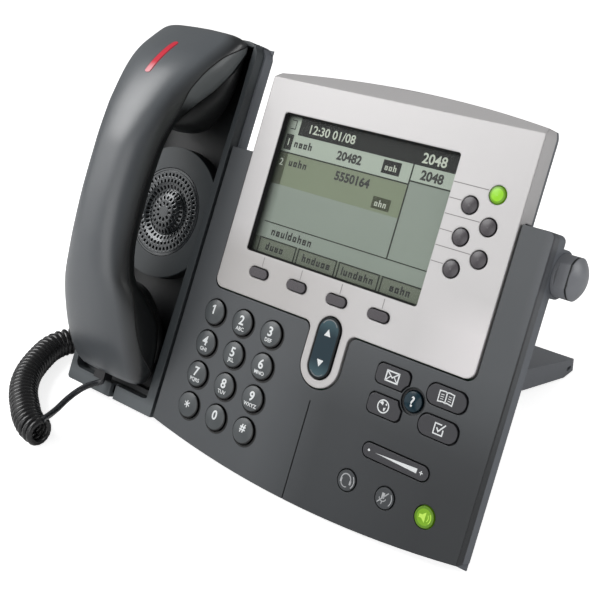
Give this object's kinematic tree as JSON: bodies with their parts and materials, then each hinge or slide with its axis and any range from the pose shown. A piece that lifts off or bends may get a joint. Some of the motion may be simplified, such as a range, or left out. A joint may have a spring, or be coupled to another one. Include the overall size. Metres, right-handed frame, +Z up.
{
  "type": "desk ip phone",
  "caption": "Desk telephone with a corded handset in a cradle, a tilted key panel, a raised display head and a folding footstand.",
  "frame": {"origin": "on the desk plane, under the middle of the telephone without its cord", "axes": "+X to the user's right, +Y away from the user, +Z up"},
  "size_m": [0.3109, 0.2553, 0.1967],
  "materials": {
    "housing": "fine satin moulding",
    "cradle": "fine satin moulding",
    "grille": "satin",
    "back": "matt, lightly textured",
    "bezel": "pearl silver, satin",
    "window": "clear",
    "lcd": "matt glass",
    "board": "matt",
    "mat": "matt",
    "parts_black": "satin",
    "steel": "brushed",
    "foot_rubber": "matt",
    "switch": "satin",
    "dial_key": "satin",
    "line_key": "satin",
    "line_key_lit": "lit from behind",
    "soft_key": "satin",
    "scroll": "gloss",
    "help": "gloss",
    "feature_key": "satin",
    "audio_key": "satin",
    "audio_key_lit": "lit from behind",
    "handset_top": "fine satin moulding",
    "handset_under": "fine satin moulding",
    "lamp": "translucent red",
    "cord": "glossy black",
    "stand": "satin"
  },
  "bodies": {
    "base": {"front_housing": "housing", "handset_cradle": "cradle", "speaker_grille": "grille", "rear_housing": "back", "display_bezel": "bezel", "display_window": "window", "lcd_panel": "lcd", "main_board": "board", "keypad_mat": "mat", "loudspeaker": "parts_black", "jack_blocks": "parts_black", "housing_screws": "steel", "base_feet": "foot_rubber", "footstand_axle": "steel", "handset_lead": "cord", "coiled_cord": "cord", "base_lead": "cord", "base_plug": "parts_black"},
    "handset": {"handset_back_shell": "handset_top", "handset_front_shell": "handset_under", "message_lamp": "lamp", "handset_receiver": "parts_black", "handset_microphone": "parts_black", "handset_plug": "parts_black"},
    "stand": {"footstand": "stand", "footstand_feet": "foot_rubber"},
    "knob": {"footstand_knob": "stand"},
    "hook": {"hookswitch": "switch"},
    "scroll_rocker": {"scroll_key": "scroll"},
    "volume_rocker": {"volume_key": "audio_key"},
    "b_key_1": {"key_1": "dial_key"},
    "b_key_2": {"key_2": "dial_key"},
    "b_key_3": {"key_3": "dial_key"},
    "b_key_4": {"key_4": "dial_key"},
    "b_key_5": {"key_5": "dial_key"},
    "b_key_6": {"key_6": "dial_key"},
    "b_key_7": {"key_7": "dial_key"},
    "b_key_8": {"key_8": "dial_key"},
    "b_key_9": {"key_9": "dial_key"},
    "b_key_star": {"key_star": "dial_key"},
    "b_key_0": {"key_0": "dial_key"},
    "b_key_hash": {"key_hash": "dial_key"},
    "b_line_key_1": {"line_key_1": "line_key_lit"},
    "b_line_key_2": {"line_key_2": "line_key"},
    "b_line_key_3": {"line_key_3": "line_key"},
    "b_line_key_4": {"line_key_4": "line_key"},
    "b_line_key_5": {"line_key_5": "line_key"},
    "b_line_key_6": {"line_key_6": "line_key"},
    "b_soft_key_1": {"soft_key_1": "soft_key"},
    "b_soft_key_2": {"soft_key_2": "soft_key"},
    "b_soft_key_3": {"soft_key_3": "soft_key"},
    "b_soft_key_4": {"soft_key_4": "soft_key"},
    "b_messages_key": {"messages_key": "feature_key"},
    "b_services_key": {"services_key": "feature_key"},
    "b_help_key": {"help_key": "help"},
    "b_directories_key": {"directories_key": "feature_key"},
    "b_settings_key": {"settings_key": "feature_key"},
    "b_headset_key": {"headset_key": "audio_key"},
    "b_mute_key": {"mute_key": "audio_key"},
    "b_speaker_key": {"speaker_key": "audio_key_lit"}
  },
  "joints": [
    {"name": "handset_lift", "type": "slide", "parent": "base", "child": "handset", "axis": [0, -0.9026, 0.4305], "range_m": [0, 0.06]},
    {"name": "hookswitch_slide", "type": "slide", "parent": "base", "child": "hook", "axis": [0, -0.9026, 0.4305], "range_m": [0, 0.003]},
    {"name": "footstand_hinge", "type": "hinge", "parent": "base", "child": "stand", "pos_m": [0.00875, -0.02193, 0.12016], "axis": [1, 0, 0], "range_deg": [-30, 0]},
    {"name": "knob_press", "type": "slide", "parent": "base", "child": "knob", "axis": [-1, 0, 0], "range_m": [0, 0.003], "stiffness_N_per_m": 400, "springref_m": -0.002},
    {"name": "scroll_rock", "type": "hinge", "parent": "base", "child": "scroll_rocker", "pos_m": [0.02795, -0.06107, 0.06736], "axis": [1, 0, 0], "range_deg": [-2, 2], "stiffness_Nm_per_rad": 0.3},
    {"name": "volume_rock", "type": "hinge", "parent": "base", "child": "volume_rocker", "pos_m": [0.08095, -0.07656, 0.03487], "axis": [0, 0.4305, 0.9026], "range_deg": [-2, 2], "stiffness_Nm_per_rad": 0.3},
    {"name": "key_1_press", "type": "slide", "parent": "base", "child": "b_key_1", "axis": [0, 0.9026, -0.4305], "range_m": [0, 0.0012], "stiffness_N_per_m": 300, "springref_m": -0.001},
    {"name": "key_2_press", "type": "slide", "parent": "base", "child": "b_key_2", "axis": [0, 0.9026, -0.4305], "range_m": [0, 0.0012], "stiffness_N_per_m": 300, "springref_m": -0.001},
    {"name": "key_3_press", "type": "slide", "parent": "base", "child": "b_key_3", "axis": [0, 0.9026, -0.4305], "range_m": [0, 0.0012], "stiffness_N_per_m": 300, "springref_m": -0.001},
    {"name": "key_4_press", "type": "slide", "parent": "base", "child": "b_key_4", "axis": [0, 0.9026, -0.4305], "range_m": [0, 0.0012], "stiffness_N_per_m": 300, "springref_m": -0.001},
    {"name": "key_5_press", "type": "slide", "parent": "base", "child": "b_key_5", "axis": [0, 0.9026, -0.4305], "range_m": [0, 0.0012], "stiffness_N_per_m": 300, "springref_m": -0.001},
    {"name": "key_6_press", "type": "slide", "parent": "base", "child": "b_key_6", "axis": [0, 0.9026, -0.4305], "range_m": [0, 0.0012], "stiffness_N_per_m": 300, "springref_m": -0.001},
    {"name": "key_7_press", "type": "slide", "parent": "base", "child": "b_key_7", "axis": [0, 0.9026, -0.4305], "range_m": [0, 0.0012], "stiffness_N_per_m": 300, "springref_m": -0.001},
    {"name": "key_8_press", "type": "slide", "parent": "base", "child": "b_key_8", "axis": [0, 0.9026, -0.4305], "range_m": [0, 0.0012], "stiffness_N_per_m": 300, "springref_m": -0.001},
    {"name": "key_9_press", "type": "slide", "parent": "base", "child": "b_key_9", "axis": [0, 0.9026, -0.4305], "range_m": [0, 0.0012], "stiffness_N_per_m": 300, "springref_m": -0.001},
    {"name": "key_star_press", "type": "slide", "parent": "base", "child": "b_key_star", "axis": [0, 0.9026, -0.4305], "range_m": [0, 0.0012], "stiffness_N_per_m": 300, "springref_m": -0.001},
    {"name": "key_0_press", "type": "slide", "parent": "base", "child": "b_key_0", "axis": [0, 0.9026, -0.4305], "range_m": [0, 0.0012], "stiffness_N_per_m": 300, "springref_m": -0.001},
    {"name": "key_hash_press", "type": "slide", "parent": "base", "child": "b_key_hash", "axis": [0, 0.9026, -0.4305], "range_m": [0, 0.0012], "stiffness_N_per_m": 300, "springref_m": -0.001},
    {"name": "line_key_1_press", "type": "slide", "parent": "base", "child": "b_line_key_1", "axis": [0, 0.9026, -0.4305], "range_m": [0, 0.0012], "stiffness_N_per_m": 300, "springref_m": -0.001},
    {"name": "line_key_2_press", "type": "slide", "parent": "base", "child": "b_line_key_2", "axis": [0, 0.9026, -0.4305], "range_m": [0, 0.0012], "stiffness_N_per_m": 300, "springref_m": -0.001},
    {"name": "line_key_3_press", "type": "slide", "parent": "base", "child": "b_line_key_3", "axis": [0, 0.9026, -0.4305], "range_m": [0, 0.0012], "stiffness_N_per_m": 300, "springref_m": -0.001},
    {"name": "line_key_4_press", "type": "slide", "parent": "base", "child": "b_line_key_4", "axis": [0, 0.9026, -0.4305], "range_m": [0, 0.0012], "stiffness_N_per_m": 300, "springref_m": -0.001},
    {"name": "line_key_5_press", "type": "slide", "parent": "base", "child": "b_line_key_5", "axis": [0, 0.9026, -0.4305], "range_m": [0, 0.0012], "stiffness_N_per_m": 300, "springref_m": -0.001},
    {"name": "line_key_6_press", "type": "slide", "parent": "base", "child": "b_line_key_6", "axis": [0, 0.9026, -0.4305], "range_m": [0, 0.0012], "stiffness_N_per_m": 300, "springref_m": -0.001},
    {"name": "soft_key_1_press", "type": "slide", "parent": "base", "child": "b_soft_key_1", "axis": [0, 0.9026, -0.4305], "range_m": [0, 0.0012], "stiffness_N_per_m": 300, "springref_m": -0.001},
    {"name": "soft_key_2_press", "type": "slide", "parent": "base", "child": "b_soft_key_2", "axis": [0, 0.9026, -0.4305], "range_m": [0, 0.0012], "stiffness_N_per_m": 300, "springref_m": -0.001},
    {"name": "soft_key_3_press", "type": "slide", "parent": "base", "child": "b_soft_key_3", "axis": [0, 0.9026, -0.4305], "range_m": [0, 0.0012], "stiffness_N_per_m": 300, "springref_m": -0.001},
    {"name": "soft_key_4_press", "type": "slide", "parent": "base", "child": "b_soft_key_4", "axis": [0, 0.9026, -0.4305], "range_m": [0, 0.0012], "stiffness_N_per_m": 300, "springref_m": -0.001},
    {"name": "messages_key_press", "type": "slide", "parent": "base", "child": "b_messages_key", "axis": [0, 0.9026, -0.4305], "range_m": [0, 0.0012], "stiffness_N_per_m": 300, "springref_m": -0.001},
    {"name": "services_key_press", "type": "slide", "parent": "base", "child": "b_services_key", "axis": [0, 0.9026, -0.4305], "range_m": [0, 0.0012], "stiffness_N_per_m": 300, "springref_m": -0.001},
    {"name": "help_key_press", "type": "slide", "parent": "base", "child": "b_help_key", "axis": [0, 0.9026, -0.4305], "range_m": [0, 0.0012], "stiffness_N_per_m": 300, "springref_m": -0.001},
    {"name": "directories_key_press", "type": "slide", "parent": "base", "child": "b_directories_key", "axis": [0, 0.9026, -0.4305], "range_m": [0, 0.0012], "stiffness_N_per_m": 300, "springref_m": -0.001},
    {"name": "settings_key_press", "type": "slide", "parent": "base", "child": "b_settings_key", "axis": [0, 0.9026, -0.4305], "range_m": [0, 0.0012], "stiffness_N_per_m": 300, "springref_m": -0.001},
    {"name": "headset_key_press", "type": "slide", "parent": "base", "child": "b_headset_key", "axis": [0, 0.9026, -0.4305], "range_m": [0, 0.0012], "stiffness_N_per_m": 300, "springref_m": -0.001},
    {"name": "mute_key_press", "type": "slide", "parent": "base", "child": "b_mute_key", "axis": [0, 0.9026, -0.4305], "range_m": [0, 0.0012], "stiffness_N_per_m": 300, "springref_m": -0.001},
    {"name": "speaker_key_press", "type": "slide", "parent": "base", "child": "b_speaker_key", "axis": [0, 0.9026, -0.4305], "range_m": [0, 0.0012], "stiffness_N_per_m": 300, "springref_m": -0.001}
  ],
  "couplings": [
    {"joint": "hookswitch_slide", "follows": "handset_lift", "ratio": 0.05}
  ]
}
